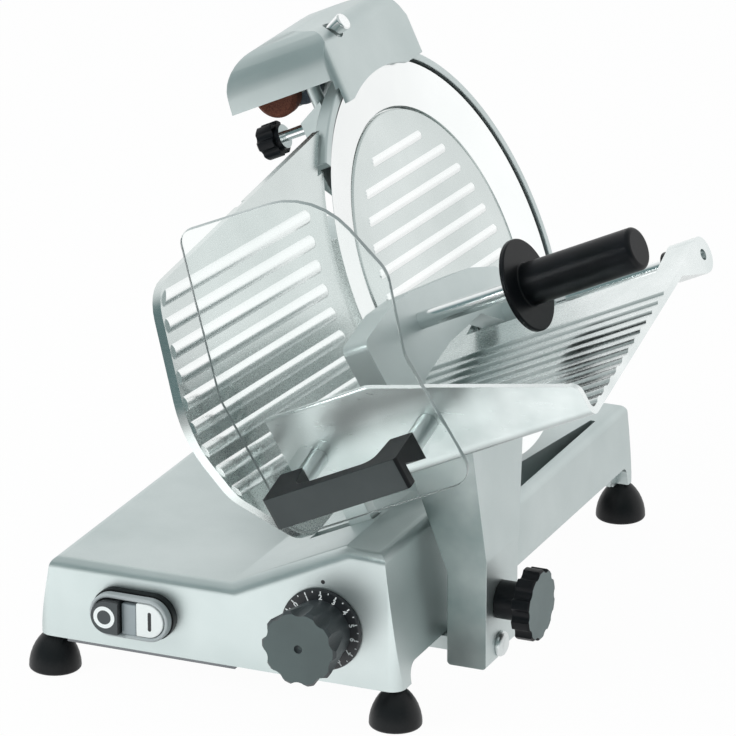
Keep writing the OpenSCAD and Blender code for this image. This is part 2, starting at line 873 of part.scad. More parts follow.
// Bracket that holds the sharpener on the ring guard
module sharpener_bracket() {
    color("silver") blade_frame() difference() {
        across(post_a - 10, post_a + 10)
            polygon([[lug_c, clamp_b - 8], [lug_c, clamp_b + 6], [web_back, blade_r - 6],
                [web_back, blade_r - 40], [post_c - 4, blade_r - 40]]);
        translate([post_a, 0, post_c]) rotate([-90, 0, 0]) cylinder(r = stem_r + run, h = far);
        translate([post_a, clamp_b, 0]) disc(4 + run, lug_c - cut, post_c - 3);
    }
}

// Gland where the mains lead comes in
module cable_gland() {
    color([0.1, 0.1, 0.1]) stance() translate([-half_w / 2, 0, rim_z + 24]) difference() {
        union() {
            disc_y(8, inner_back - 4, back_y);
            translate([0, back_y + 8, 0]) rotate([90, 0, 0]) cylinder(r = 12, h = 8, $fn = 6);
            disc_y(7.5, back_y + 7, back_y + 14);
        }
        disc_y(4, inner_back - 5, back_y + 15);
    }
}

// Blade with a ground rim and a dished middle
module blade() {
    rim_r = blade_r - blade_rim;
    floor_z = blade_back + blade_t;
    color("gainsboro") blade_frame() rotate_extrude()
        polygon([[shaft_r + run, blade_back], [rim_r - 7, blade_back], [rim_r, blade_back + 2.5],
            [blade_r - 7, -4], [blade_r, -0.3], [blade_r, 0], [rim_r, cover_face - 0.5], [rim_r - 1, floor_z],
            [shaft_r + run, floor_z]]);
}

// Hollow shaft with the hub that carries the blade
module blade_shaft() {
    color("gainsboro") blade_frame() difference() {
        union() {
            disc(shaft_r, pulley_back - 4, blade_back + blade_t - 0.5);
            disc(32, blade_back - hub_t, blade_back);
        }
        disc(tie_r + gap, pulley_back - 5, blade_back + blade_t);
    }
}

// Grooved pulley rim from z0, of radius r, with bore
module pulley(r, bore) {
    rotate_extrude() polygon(concat([[bore, 0], [r, 0]],
        [for (i = [0:3]) each [[r, 1.4 + i * (pulley_w - 2) / 4], [r - 1, 2 + i * (pulley_w - 2) / 4],
            [r, 2.6 + i * (pulley_w - 2) / 4]]],
        [[r, pulley_w], [bore, pulley_w]]));
}

// Pulley on the blade's shaft
module blade_pulley() {
    color("dimgray") blade_frame() translate([0, 0, pulley_back]) difference() {
        pulley(big_pulley_r, shaft_r);
        for (i = [0:5]) rotate([0, 0, i * 60])
            translate([(big_pulley_r + shaft_r) / 2 - 1, 0, 0]) disc(6.5, -cut, pulley_w + cut);
    }
}

// Shaft of the motor
module motor_shaft() {
    color("gainsboro") blade_frame() translate([0, -drive_pitch, 0])
        disc(motor_shaft_r, motor_front - 28, pulley_back + pulley_w);
}

// Pulley on the motor's shaft
module motor_pulley() {
    color("dimgray") blade_frame() translate([0, -drive_pitch, pulley_back])
        pulley(small_pulley_r, motor_shaft_r);
}

// Frame of the dial's axis: Z out of the base's front
module dial_frame() {
    stance() translate([dial_x, front_y, dial_z]) rotate([90, 0, 0]) children();
}

// Knob that sets the slice thickness
module dial_knob() {
    z0 = gap + 6;
    edge = 2;
    color([0.2, 0.2, 0.2]) dial_frame() difference() {
        union() {
            disc(knob_base_r, gap + dial_t, z0);
            translate([0, 0, z0]) cylinder(r1 = knob_base_r, r2 = knob_r, h = knob_out - edge - z0);
            translate([0, 0, knob_out - edge]) cylinder(r1 = knob_r, r2 = knob_r - edge, h = edge);
        }
        for (i = [0:knob_lobes - 1])
            rotate([0, 0, (i + 0.5) * 360 / knob_lobes]) translate([knob_r + flute_r - flute_depth, 0, 0])
                disc(flute_r, z0, knob_out + cut);
        disc(dial_shaft_r, gap, knob_out - 8);
        translate([0, 0, knob_out]) sphere(r = 3);
    }
}

// Dial behind the knob
module dial_disc() {
    color([0.12, 0.12, 0.12]) dial_frame() difference() {
        union() {
            disc(dial_r, gap, gap + dial_t - 1);
            translate([0, 0, gap + dial_t - 1]) cylinder(r1 = dial_r, r2 = dial_r - 1, h = 1);
        }
        disc(dial_shaft_r, 0, gap + dial_t + cut);
    }
}

// Shaft of the dial, through the base's front
module dial_shaft() {
    color("gainsboro") dial_frame() disc(dial_shaft_r, -base_wall - gap - cam_t, knob_out - 8);
}

// Points of the cam's spiral groove, shifted out by side
function spiral(side) =
    [for (d = [-slice_t * dial_deg : 7 : (slice_max - slice_t) * dial_deg])
        (groove_start + slice_t + d / dial_deg + side) * [cos(180 + lean - d), sin(180 + lean - d)]];

// Cam whose spiral groove moves the gauge plate
module gauge_cam() {
    back = -base_wall - gap - cam_t;
    inner = spiral(-groove_r);
    outer = spiral(groove_r);
    middle = spiral(0);
    n = len(inner);
    color("tan") dial_frame() difference() {
        disc(cam_r, back, back + cam_t);
        disc(dial_shaft_r, back - cut, back + cam_t + cut);
        translate([0, 0, back - cut]) linear_extrude(groove_depth + cut)
            polygon(concat(inner, [for (i = [n - 1 : -1 : 0]) outer[i]]));
        // round ends of the groove
        for (i = [0, n - 1]) translate(middle[i]) disc(groove_r + slip, back - cut, back + groove_depth);
    }
}

// Outline of the gauge plate in the blade's frame
function gauge_outline(inset = 0) =
    let (r = blade_r)
    rounded([[70 - r, r - 18, 0], [-r - 236 + inset, r - 44.5 - inset, 32 - inset],
        [-r - 271 + inset, 10, 60 - inset], [-r - 246 + inset, -42, 50 - inset],
        [-r - 180, -99 + inset, 40 - inset], [14 - r, -75 + inset, 8]]);

// Gauge plate with rolled ribs, cut round the blade
module gauge_plate() {
    plain = gauge_face - rib_h;
    color("gainsboro") blade_frame() difference() {
        union() {
            translate([0, 0, plain - gauge_t]) linear_extrude(gauge_t) polygon(gauge_outline());
            translate([0, 0, plain - gauge_t - gauge_lip]) linear_extrude(gauge_lip + cut) difference() {
                polygon(gauge_outline());
                polygon(gauge_outline(5));
            }
            intersection() {
                translate([0, 0, plain - 1]) linear_extrude(rib_h + cut) polygon(gauge_outline(3));
                rotate([0, 0, -gauge_rib_tilt]) for (i = [-4:4]) {
                    up = gauge_rib_mid + i * gauge_rib_pitch;
                    end = sqrt(pow(blade_r + 30, 2) - pow(up, 2));
                    translate([-end, up, gauge_face - gauge_rib_r]) {
                        sphere(r = gauge_rib_r);
                        rotate([0, -90, 0]) cylinder(r = gauge_rib_r, h = blade_r * 2);
                    }
                }
            }
        }
        block([gauge_a - post_w / 2, -far, -far], [gauge_a + post_w / 2, far, plain - gauge_t]);
        disc(blade_r + 3, plain - gauge_t - 8, cut);
        intersection() {
            disc(ring_out + 2, plain - gauge_t - 8, cut);
            block([-far, ring_out * sin(ring_to) - 6, -far], [far, far, far]);
        }
    }
}

// Arm of the gauge plate, with the slide block on its rod
module gauge_arm() {
    top = gauge_face - rib_h - gauge_t;
    low = dial_w - blade_w;
    pin_c = dial_n - blade_n - groove_start - slice_t;
    color("silver") blade_frame() difference() {
        union() {
            block([gauge_a - post_w / 2, gauge_b, top - 18], [gauge_a + post_w / 2, -62, top]);
            translate([gauge_a, 0, 0])
                block([-14, gauge_b - 13, top - 42], [14, gauge_b + 13, top - 4]);
            block([front_y + 26 - blade_c.y, low - 7, pin_c - 7], [gauge_a + 14, low + 9, pin_c + 7]);
            block([gauge_a - 14, low - 7, pin_c - 7], [gauge_a + 14, gauge_b, pin_c + 7]);
        }
        translate([gauge_a, gauge_b, 0]) disc(gauge_rod_r + run, -far, far);
    }
}

// Pin that runs in the cam's groove
module follower_pin() {
    low = dial_w - blade_w;
    pin_c = dial_n - blade_n - groove_start - slice_t;
    y0 = inner_front + gap + cam_t - groove_depth + 0.5 - blade_c.y;
    color("gainsboro") blade_frame() translate([y0, low, pin_c]) rotate([0, 90, 0])
        cylinder(r = pin_r, h = front_y + 26 - blade_c.y - y0);
}

// Block that slides on the guide rod, with the bar that reaches under the base's right wall
module slide_block() {
    y0 = carriage_y - block_d / 2;
    color("silver") stance() difference() {
        union() {
            translate([rod_x, 0, rod_z]) disc_y(block_r, y0, y0 + block_d);
            block([rod_x - block_r, bolt_y - 14, bolt_z - 5], [arm_x, bolt_y + 14, bolt_z + 5]);
            block([bar_x - 2, carriage_y - 14, rod_z - 14.5], [rod_x, carriage_y + 14, rod_z - 5]);
        }
        translate([rod_x, 0, rod_z]) disc_y(rod_r + 2, y0 - cut, y0 + block_d + cut);
        translate([rod_x + block_r, bolt_y, bolt_z]) rotate([0, 90, 0]) cylinder(r = bolt_r, h = arm_x - rod_x);
    }
}

// Two bushes inside the slide block
module slide_bushes() {
    y0 = carriage_y - block_d / 2;
    color("goldenrod") stance() translate([rod_x, 0, rod_z])
        for (y = [y0, y0 + block_d - 18]) difference() {
            disc_y(rod_r + 2, y, y + 18);
            disc_y(rod_r + run, y - cut, y + 18 + cut);
        }
}

// Nylon shoe that runs under the guide bar
module guide_shoe() {
    color("ivory") stance()
        block([bar_x - 2, carriage_y - 14, rod_z - 5], [bar_x + bar_w, carriage_y + 14, bar_z - slip]);
}

// Outline of the carriage's arm from the front
function arm_front() =
    let (x1 = arm_x + arm_w)
    rounded([[arm_x, arm_z, 3], [x1, arm_z, 3], [x1, arm_knee_z + 6, 12], [x1 - arm_lean, arm_top, 0],
        [arm_x - arm_in, arm_top, 0], [arm_x, arm_knee_z - 6, 12]]);

// Cast arm that carries the tray
module carriage_arm() {
    y0 = carriage_y - 13;
    color("silver") difference() {
        stance() intersection() {
            along_y(y0 - 8, y0 + 100) polygon(arm_front());
            along_x(0, far)
                polygon(rounded([[y0, arm_z - cut, 0], [y0 + arm_d, arm_z - cut, 0],
                    [y0 + arm_d, arm_knee_z, 20], [y0 + arm_top_d, arm_head_z, 0],
                    [y0 + arm_top_d, arm_top, 0], [y0 - 4, arm_top, 0], [y0 - 4, arm_head_z, 0],
                    [y0, arm_knee_z, 20]]));
        }
        // seat under the tray's floor
        tray_frame() block([-far, -tray_t, -far], [far, far, far]);
        stance() {
            block([arm_x - cut, y0 + 25, arm_z - cut], [arm_x + arm_w + cut, y0 + arm_d + cut, arm_z + 6]);
            // hollow at the back
            intersection() {
                along_y(y0 + 10, y0 + 120)
                    polygon([[arm_x + 6, 80], [arm_x + arm_w - 6, 80], [arm_x + arm_w - 6, 104],
                        [arm_x + arm_w - 20, 240], [arm_x - 40, 240], [arm_x + 6, 92]]);
                block([0, y0 + 16, 84], [far, far, far]);
            }
            translate([arm_x, bolt_y, bolt_z]) rotate([0, 90, 0])
                translate([0, 0, -cut]) cylinder(r = bolt_r, h = arm_w + 2 * cut);
            translate([arm_x + arm_w, knob_y, knob_z]) rotate([0, -90, 0])
                translate([0, 0, -cut]) cylinder(r = 4 + run, h = 16);
        }
    }
}

// Screw that joins the arm to the slide block
module arm_bolt() {
    head_r = 9;
    color("gainsboro") stance() translate([0, bolt_y, bolt_z]) rotate([0, 90, 0]) {
        disc(bolt_r, rod_x + block_r, arm_x + arm_w);
        disc(head_r, arm_x + arm_w, arm_x + arm_w + 2);
        translate([0, 0, arm_x + arm_w + 2]) cylinder(r1 = head_r, r2 = head_r - 1, h = 1.5);
        translate([0, 0, arm_x + arm_w + 3.5]) cylinder(r1 = head_r - 1, r2 = head_r - 4, h = 1.5);
    }
}

// Outline of a lug that holds the slide rod behind the floor
module rod_lug() {
    translate(rod_at) circle(r = lug_r);
    polygon([[floor_l - 12, -tray_t], [floor_l - 2, 0], [rod_at.x - 4, rod_at.y + lug_r - 0.5],
        [rod_at.x, rod_at.y], [rod_at.x - 6, rod_at.y - lug_r + 1]]);
}

// Tray: a ribbed floor folded up into a front wall that gets lower away from the blade
module tray() {
    color("silver") tray_frame() difference() {
        union() {
            linear_extrude(tray_l)
                polygon(rounded([[-tray_t, -tray_t, 9], [floor_l, -tray_t, 0], [floor_l, 0, 2],
                    [0, 0, 4], [0, wall_h, 2], [-tray_t, wall_h, 2]]));
            intersection() {
                block([0, -tray_t / 2, 0], [floor_l, tray_t, tray_l]);
                for (i = [0:floor_ribs - 1])
                    translate([14 + i * (floor_l - 45) / floor_ribs, floor_rib_h - floor_rib_r, 0])
                        disc(floor_rib_r, -cut, tray_l + cut);
            }
            for (z = [sleeve_z - lug_t - gap, tray_l - lug_t]) translate([0, 0, z])
                linear_extrude(lug_t) rod_lug();
        }
        // falling top edge of the front wall
        across(-tray_t - cut, 3)
            polygon(concat([[wall_flat, far], [wall_flat, wall_h], [tray_l - wall_r, wall_low]],
                [for (i = [1:6]) [tray_l - wall_r * (1 - sin(15 * i)), wall_low - wall_r * (1 - cos(15 * i))]],
                [[tray_l + cut, wall_low - wall_r], [tray_l + cut, far]]));
        translate(rod_at) disc(slide_r, sleeve_z - lug_t - gap - cut, tray_l - 3);
        translate(rod_at) disc(4, 0, tray_l + cut);
        // seats of the handle's posts
        for (side = [-1, 1])
            translate([-tray_t, handle_y, handle_z + side * post_pitch / 2])
                rotate([0, 90, 0]) translate([0, 0, -cut]) cylinder(r = post_r - 2, h = 3 + cut);
    }
}

// Handle in front of the hand guard, its arms hollowed from below behind the bar
module tray_handle() {
    x0 = guard_x - guard_t;
    z0 = handle_z - handle_l / 2;
    z1 = handle_z + handle_l / 2;
    bar_back = x0 - handle_reach + handle_bar;
    top = handle_y + handle_h / 2;
    low = handle_y - handle_h / 2;
    inner = handle_arm + 4;
    color([0.1, 0.1, 0.1]) tray_frame() difference() {
        translate([0, top, 0]) rotate([90, 0, 0]) linear_extrude(handle_h)
            polygon(rounded([[x0, z0, 1], [x0 - handle_reach, z0, 3], [x0 - handle_reach, z1, 3],
                [x0, z1, 1], [x0, z1 - handle_arm, 1], [bar_back, z1 - inner, 9],
                [bar_back, z0 + inner, 9], [x0, z0 + handle_arm, 1]], 4));
        translate([0, 0, z0 - cut]) linear_extrude(handle_l + 2 * cut)
            polygon([[bar_back, top - 9], [x0 + cut, low + 2], [x0 + cut, low - cut], [bar_back, low - cut]]);
    }
}

// Steel posts between the front wall and the hand guard
module handle_posts() {
    color("gainsboro") tray_frame() for (side = [-1, 1])
        translate([guard_x, handle_y, handle_z + side * post_pitch / 2]) rotate([0, 90, 0]) {
            cylinder(r = post_r, h = post_l);
            cylinder(r = post_r - 2, h = post_l + 3);
        }
}

// Clear guard in front of the hand's way to the blade
module hand_guard() {
    color([0.85, 0.92, 0.92, 0.35]) tray_frame() across(guard_x - guard_t, guard_x)
        polygon(rounded([[0, -guard_low, 14], [0, guard_mid, 40], [33, guard_h, 12],
            [guard_w - 20, guard_h - 3, 48], [guard_w, guard_mid + 46, 25], [guard_w - 18, guard_mid - 12, 30],
            [guard_w - 14, -guard_low, 16]]));
}

// Rod along the tray's back edge, on which the pusher slides
module pusher_rod() {
    color("gainsboro") tray_frame() translate(rod_at)
        disc(slide_r, sleeve_z - lug_t - gap, tray_l - 3);
}

// Rubber stop at the rod's far end
module rod_bumper() {
    color([0.1, 0.1, 0.1]) tray_frame() translate(rod_at) difference() {
        disc(slide_r + 4, tray_l - lug_t - 7, tray_l - lug_t);
        disc(slide_r, tray_l - lug_t - 8, tray_l - lug_t + cut);
    }
}

// Lobed knob that locks the tray's arm
module tray_knob() {
    color([0.1, 0.1, 0.1]) stance() translate([arm_x + arm_w, knob_y, knob_z]) rotate([0, 90, 0]) {
        disc(4, -13, 2);
        disc(13.5, slip, 19);
        lobed_knob(25.5, 18, 31, 10, 5.5, 3);
    }
}

// Sleeve that runs on the slide rod
module pusher_sleeve() {
    color("gainsboro") tray_frame() translate(rod_at) difference() {
        union() {
            disc(sleeve_r, sleeve_z, sleeve_z + sleeve_l);
            disc(sleeve_r + 4, sleeve_z, sleeve_z + collar_t);
            disc(sleeve_r + 4, sleeve_z + sleeve_l - collar_t, sleeve_z + sleeve_l);
        }
        disc(slide_r + run, sleeve_z - cut, sleeve_z + sleeve_l + cut);
    }
}

// Outline of the press plate across the tray
function press_outline() =
    let (x = floor_l)
    rounded([[x - 168, 4, 4], [x - 140, 4, 14], [x - 126, 22, 30], [x - 66, 22, 30], [x - 8, 14, 6],
        [rod_at.x - 8, rod_at.y, 0], [rod_at.x + 12, rod_at.y + 6, 0], [rod_at.x + 15, 24, 8],
        [x + 8, 43, 30], [x - 85, 72, 20], [x - 116, 78, 20], [x - 168, 78, 6]], 5);

// Cast plate that presses the food, with spikes towards the blade
module press_plate() {
    hub_z = sleeve_z + collar_t + slip;
    color("silver") tray_frame() difference() {
        union() {
            translate([0, 0, press_z]) linear_extrude(press_t) polygon(press_outline());
            translate(rod_at) disc(hub_r, hub_z, sleeve_z + sleeve_l - collar_t - slip);
            for (i = [0:4], j = [0:1]) translate([floor_l - 156 + i * 14, 34 + j * 22, press_z - 6])
                cylinder(r1 = 0.4, r2 = 2.5, h = 6 + cut);
        }
        translate(rod_at) disc(sleeve_r + run, sleeve_z, sleeve_z + sleeve_l);
        translate(rod_at) disc(sleeve_r + 4 + gap, sleeve_z - cut, hub_z);
        translate([handle_at.x, handle_at.y, 0]) disc(slide_r, press_z + 6, far);
    }
}

// Steel rod between the press plate and its grip
module handle_rod() {
    color("gainsboro") tray_frame() translate([handle_at.x, handle_at.y, press_z + 6])
        cylinder(r = slide_r, h = press_t - 6 + rod_out + shield_t + 30);
}

// Grip of the pusher with its hand shield
module pusher_grip() {
    z0 = press_z + press_t + rod_out;
    color([0.1, 0.1, 0.1]) tray_frame() translate([handle_at.x, handle_at.y, 0]) difference() {
        union() {
            disc(shield_r, z0, z0 + shield_t);
            disc(grip_r, z0 + shield_t - cut, z0 + shield_t + grip_l - 2);
            translate([0, 0, z0 + shield_t + grip_l - 2]) cylinder(r1 = grip_r, r2 = grip_r - 2, h = 2);
        }
        disc(slide_r, z0 - cut, z0 + shield_t + 30);
    }
}

// Hood outline from the front, drawn in by inset
module hood_front(inset) {
    a1 = hood_a + hood_w;
    polygon(rounded([[hood_a + inset, 0, 0], [a1 - 6 - inset, 0, 0], [a1 + 4 - inset, hood_low + 15, 12],
        [a1 - inset, hood_top - 4 - inset, 50 - inset], [hood_a + inset, hood_top + 2 - inset, 32 - inset]], 8));
}

// Hood outline from the side, drawn in by inset
module hood_side(inset) {
    low = inset > 0 ? 40 : 0;
    shoulder = hood_top - 8;
    foot_c = hood_end - hood_slant * low / (shoulder - hood_side_low);
    polygon(rounded([[hood_face - inset, hood_low - low, 0], [hood_face - inset, shoulder - inset, 14 - inset],
        [-30, hood_top - inset, 50], [hood_end + hood_slant + inset, shoulder - inset, 28 - inset],
        [foot_c + inset, hood_side_low - low, 0], [hood_face - hood_t - 2, hood_side_low - low, 0],
        [hood_face - hood_t - 2, hood_low - low, 0]], 8));
}

// Hood seen from above, with the edge between its front and its face rounded
module hood_plan() {
    translate([0, far, 0]) rotate([90, 0, 0]) linear_extrude(far)
        polygon(rounded([[hood_a - skin, hood_end - far, 0], [far, hood_end - far, 0],
            [far, hood_face + skin, 0], [hood_a - skin, hood_face + skin, hood_edge_r]], 8));
}

// Frame of the push button, which leans out of the hood's upper edge
module button_frame() {
    translate([button_a, button_b, button_c]) rotate([-button_tilt, 0, 0]) children();
}

// Cast hood over the stones
module sharpener_hood() {
    color("silver") blade_frame() difference() {
        intersection() {
            across(hood_a, hood_a + hood_w) hood_side(0);
            translate([0, 0, -far / 2]) linear_extrude(far) hood_front(0);
            hood_plan();
        }
        intersection() {
            across(hood_a, hood_a + hood_w) hood_side(hood_t);
            translate([0, 0, -far / 2]) linear_extrude(far) hood_front(hood_t);
        }
        // room for the ring guard and the lower edge of the face
        disc(ring_out + 2, web_back - 4, hood_face - hood_t);
        disc(blade_r - 4, 0, far);
        // slot for the button
        button_frame() disc(7.5, -6, far);
    }
}

// Carrier under the hood with the stones' spindles and the post
module sharpener_frame() {
    color("silver") blade_frame() {
        block([plate_a, hone_b - 13, grind_c - 10], [plate_a + 5, arm_b + 14, post_c + stem_r]);
        block([hood_a + hood_t, arm_b, post_c - stem_r + 1], [plate_a + cut, arm_b + 6, post_c + stem_r + 1]);
        translate([post_a, post_low, post_c]) rotate([-90, 0, 0])
            cylinder(r = stem_r, h = arm_b - post_low + cut);
        translate([plate_a + cut, grind_b, grind_c]) rotate([0, -90, 0]) cylinder(r = spindle_r, h = 31);
        translate([plate_a + cut, hone_b, hone_c]) rotate([0, -90, 0]) cylinder(r = spindle_r, h = 16);
    }
}

// Grinding stone
module grinding_stone() {
    color("sienna") blade_frame() translate([grind_a, grind_b, grind_c]) rotate([0, -90, 0]) difference() {
        union() {
            cylinder(r = grind_r, h = 9);
            translate([0, 0, 9]) cylinder(r1 = grind_r, r2 = grind_r - 3, h = 3);
        }
        translate([0, 0, -cut]) cylinder(r = spindle_r + run, h = 15);
    }
}

// Honing stone
module honing_stone() {
    color("slategray") blade_frame() translate([hone_a, hone_b, hone_c]) rotate([0, -90, 0]) difference() {
        cylinder(r = hone_r, h = 9);
        translate([0, 0, -cut]) cylinder(r = spindle_r + run, h = 11);
    }
}

// Push button of the stones, through the hood's slot
module stone_button() {
    color("gainsboro") blade_frame() button_frame() {
        disc(4.5, -14, cut);
        cylinder(r1 = 4.5, r2 = 6.6, h = button_out);
        translate([0, 0, button_out]) cylinder(r1 = 6.6, r2 = 5.6, h = 1);
    }
}

// Small knob that clamps the sharpener's post
module sharpener_knob() {
    color([0.1, 0.1, 0.1]) blade_frame() translate([post_a, clamp_b, post_c])
        mirror([0, 0, 1]) {
            disc(4, stem_r + slip, 40);
            disc(9, 36, 41);
            lobed_knob(13, 40, 54, 6, 4, 3);
        }
}

base_casting();
bottom_plate();
feet();
foot_screws();
switch_gasket();
switch_bezel();
pilot_lens();
contact_block();
guide_rod();
guide_bar();
drive_housing();
rear_cover();
cover_screws();
ring_guard();
bearings();
motor();
drive_belt();
blade_cover();
cover_tie_rod();
cover_knob();
slice_deflector();
gauge_rod();
sharpener_bracket();
cable_gland();
blade();
blade_shaft();
blade_pulley();
motor_shaft();
motor_pulley();
dial_knob();
dial_disc();
dial_shaft();
gauge_cam();
gauge_plate();
gauge_arm();
follower_pin();
start_button();
stop_button();
slide_block();
slide_bushes();
guide_shoe();
carriage_arm();
arm_bolt();
tray();
tray_handle();
handle_posts();
hand_guard();
pusher_rod();
rod_bumper();
tray_knob();
pusher_sleeve();
press_plate();
handle_rod();
pusher_grip();
sharpener_hood();
sharpener_frame();
grinding_stone();
honing_stone();
stone_button();
sharpener_knob();
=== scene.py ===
"""Looks of the food slicer: satin castings, polished steel, black mouldings and a clear hand guard."""
import json
import math

import bmesh
import bpy
from mathutils import Matrix, Vector


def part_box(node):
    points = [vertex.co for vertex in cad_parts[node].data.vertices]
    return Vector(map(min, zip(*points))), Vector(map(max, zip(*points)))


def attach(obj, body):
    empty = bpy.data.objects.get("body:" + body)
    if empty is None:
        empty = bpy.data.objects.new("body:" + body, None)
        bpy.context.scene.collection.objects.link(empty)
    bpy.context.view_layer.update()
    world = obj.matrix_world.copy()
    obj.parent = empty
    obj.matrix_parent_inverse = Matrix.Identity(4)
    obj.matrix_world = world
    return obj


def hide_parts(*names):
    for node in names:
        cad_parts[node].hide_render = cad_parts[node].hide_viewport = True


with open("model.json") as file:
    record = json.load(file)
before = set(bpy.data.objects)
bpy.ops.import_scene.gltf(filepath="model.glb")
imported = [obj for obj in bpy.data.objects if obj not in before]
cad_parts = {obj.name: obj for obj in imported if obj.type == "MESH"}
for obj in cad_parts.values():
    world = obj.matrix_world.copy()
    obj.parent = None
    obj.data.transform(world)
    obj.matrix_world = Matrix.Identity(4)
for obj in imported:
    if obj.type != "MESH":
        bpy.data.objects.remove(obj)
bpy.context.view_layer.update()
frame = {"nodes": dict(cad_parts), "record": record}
NODES = frame["nodes"]
BODY = {node: body for body, nodes in frame["record"]["behaviour"]["bodies"].items() for node in nodes}

MM = 0.001

# Frame of the leaning blade: back, up along the blade and out towards the food, about the blade's middle
LEAN = math.radians(25)
BACK = Vector((0, 1, 0))
UP = Vector((-math.sin(LEAN), 0, math.cos(LEAN)))
OUT = Vector((math.cos(LEAN), 0, math.sin(LEAN)))
BLADE = Vector((-22.8, 128.4, 232.1)) * MM
FRONT = Vector((0, -1, 0))
TRAY_TILT = math.radians(10)
ALONG_TRAY = BACK * math.cos(TRAY_TILT) + UP * math.sin(TRAY_TILT)

# Corners closer than this are one corner, and edges flatter than this are shaded soft
WELD = 2e-6
SOFT_ANGLE = 35


# Finishes

def new_finish(name):
    """An empty node material and its shader."""
    material = bpy.data.materials.new(name)
    material.use_nodes = True
    return material, material.node_tree, material.node_tree.nodes["Principled BSDF"]


def grain(tree, scale, detail=6.0, stretch=(1, 1, 1), turn=(0, 0, 0)):
    """Noise on the piece's own coordinates, drawn out and turned as asked."""
    place = tree.nodes.new("ShaderNodeTexCoord")
    mapping = tree.nodes.new("ShaderNodeMapping")
    mapping.inputs["Scale"].default_value = stretch
    mapping.inputs["Rotation"].default_value = turn
    noise = tree.nodes.new("ShaderNodeTexNoise")
    noise.inputs["Scale"].default_value = scale
    noise.inputs["Detail"].default_value = detail
    tree.links.new(place.outputs["Object"], mapping.inputs["Vector"])
    tree.links.new(mapping.outputs["Vector"], noise.inputs["Vector"])
    return noise.outputs["Fac"]


def between(tree, value, low, high):
    """Maps a noise value to a range."""
    spread = tree.nodes.new("ShaderNodeMapRange")
    spread.inputs["From Min"].default_value = 0.25
    spread.inputs["From Max"].default_value = 0.75
    spread.inputs["To Min"].default_value = low
    spread.inputs["To Max"].default_value = high
    tree.links.new(value, spread.inputs["Value"])
    return spread.outputs["Result"]


def tint(tree, value, dark, light):
    """Mixes two colours by a noise value."""
    ramp = tree.nodes.new("ShaderNodeValToRGB")
    ramp.color_ramp.elements[0].position = 0.3
    ramp.color_ramp.elements[0].color = (*dark, 1)
    ramp.color_ramp.elements[1].position = 0.7
    ramp.color_ramp.elements[1].color = (*light, 1)
    tree.links.new(value, ramp.inputs["Fac"])
    return ramp.outputs["Color"]


def bump(tree, shader, value, strength, distance):
    """Raises the surface by a noise value."""
    node = tree.nodes.new("ShaderNodeBump")
    node.inputs["Strength"].default_value = strength
    node.inputs["Distance"].default_value = distance
    tree.links.new(value, node.inputs["Height"])
    tree.links.new(node.outputs["Normal"], shader.inputs["Normal"])


def metal(name, dark, light, rough, metallic=1.0, cloud=14.0, stretch=(1, 1, 1), turn=(0, 0, 0),
          grit=900.0, relief=0.05):
    """A metal finish: soft clouds in the colour, and a fine grit drawn out along its grinding."""
    material, tree, shader = new_finish(name)
    clouds = grain(tree, cloud, 3.0)
    fine = grain(tree, grit, 4.0, stretch, turn)
    tree.links.new(tint(tree, clouds, dark, light), shader.inputs["Base Color"])
    tree.links.new(between(tree, fine, rough[0], rough[1]), shader.inputs["Roughness"])
    shader.inputs["Metallic"].default_value = metallic
    bump(tree, shader, fine, relief, 0.0002)
    return material


def moulding(name, dark, light, rough, grit=1500.0, relief=0.12, coat=0.0, shine=0.5):
    """A moulded plastic or rubber with fine eroded grain."""
    material, tree, shader = new_finish(name)
    clouds = grain(tree, 30.0, 3.0)
    fine = grain(tree, grit, 3.0)
    tree.links.new(tint(tree, clouds, dark, light), shader.inputs["Base Color"])
    tree.links.new(between(tree, fine, rough[0], rough[1]), shader.inputs["Roughness"])
    shader.inputs["Coat Weight"].default_value = coat
    shader.inputs["Specular IOR Level"].default_value = shine
    bump(tree, shader, fine, relief, 0.0002)
    return material


def bonded_grit(name, dark, light):
    """A grinding stone: coarse coloured grit."""
    material, tree, shader = new_finish(name)
    grit = grain(tree, 1400.0, 2.0)
    tree.links.new(tint(tree, grit, dark, light), shader.inputs["Base Color"])
    shader.inputs["Roughness"].default_value = 0.9
    bump(tree, shader, grit, 0.5, 0.0004)
    return material


def clear_sheet(name):
    """Clear acrylic with faint wipe marks."""
    material, tree, shader = new_finish(name)
    wipes = grain(tree, 40.0, 4.0, (1, 1, 6))
    shader.inputs["Base Color"].default_value = (0.96, 0.985, 0.98, 1)
    shader.inputs["Transmission Weight"].default_value = 1.0
    shader.inputs["IOR"].default_value = 1.3
    tree.links.new(between(tree, wipes, 0.0, 0.03), shader.inputs["Roughness"])
    return material


cast_aluminium = metal("cast_aluminium", (0.50, 0.565, 0.56), (0.58, 0.64, 0.635), (0.36, 0.46), 0.85)
blasted_aluminium = metal("blasted_aluminium", (0.52, 0.585, 0.58), (0.60, 0.66, 0.655), (0.38, 0.48), 0.85,
                          grit=1400.0, relief=0.08)
# Front faces of the carriage arm: a darker copy of the casting, painted shade.
arm_front = metal("arm_front", (0.20, 0.25, 0.245), (0.33, 0.375, 0.37), (0.32, 0.42), 0.85, cloud=26.0)
brushed_tray = metal("brushed_tray", (0.66, 0.71, 0.705), (0.80, 0.84, 0.835), (0.22, 0.33), 1.0, cloud=24.0,
                     stretch=(0.06, 1, 1), turn=(0, LEAN, 0), grit=700.0, relief=0.06)
# Front wall of the tray: a darker copy of the brushed tray, painted shade to hold down the bright floor it
# reflects.
tray_wall_painted_shade = metal("tray_wall_painted_shade", (0.40, 0.45, 0.445), (0.54, 0.585, 0.58), (0.26, 0.36), 1.0, cloud=24.0,
                  stretch=(0.06, 1, 1), turn=(0, LEAN, 0), grit=700.0, relief=0.05)
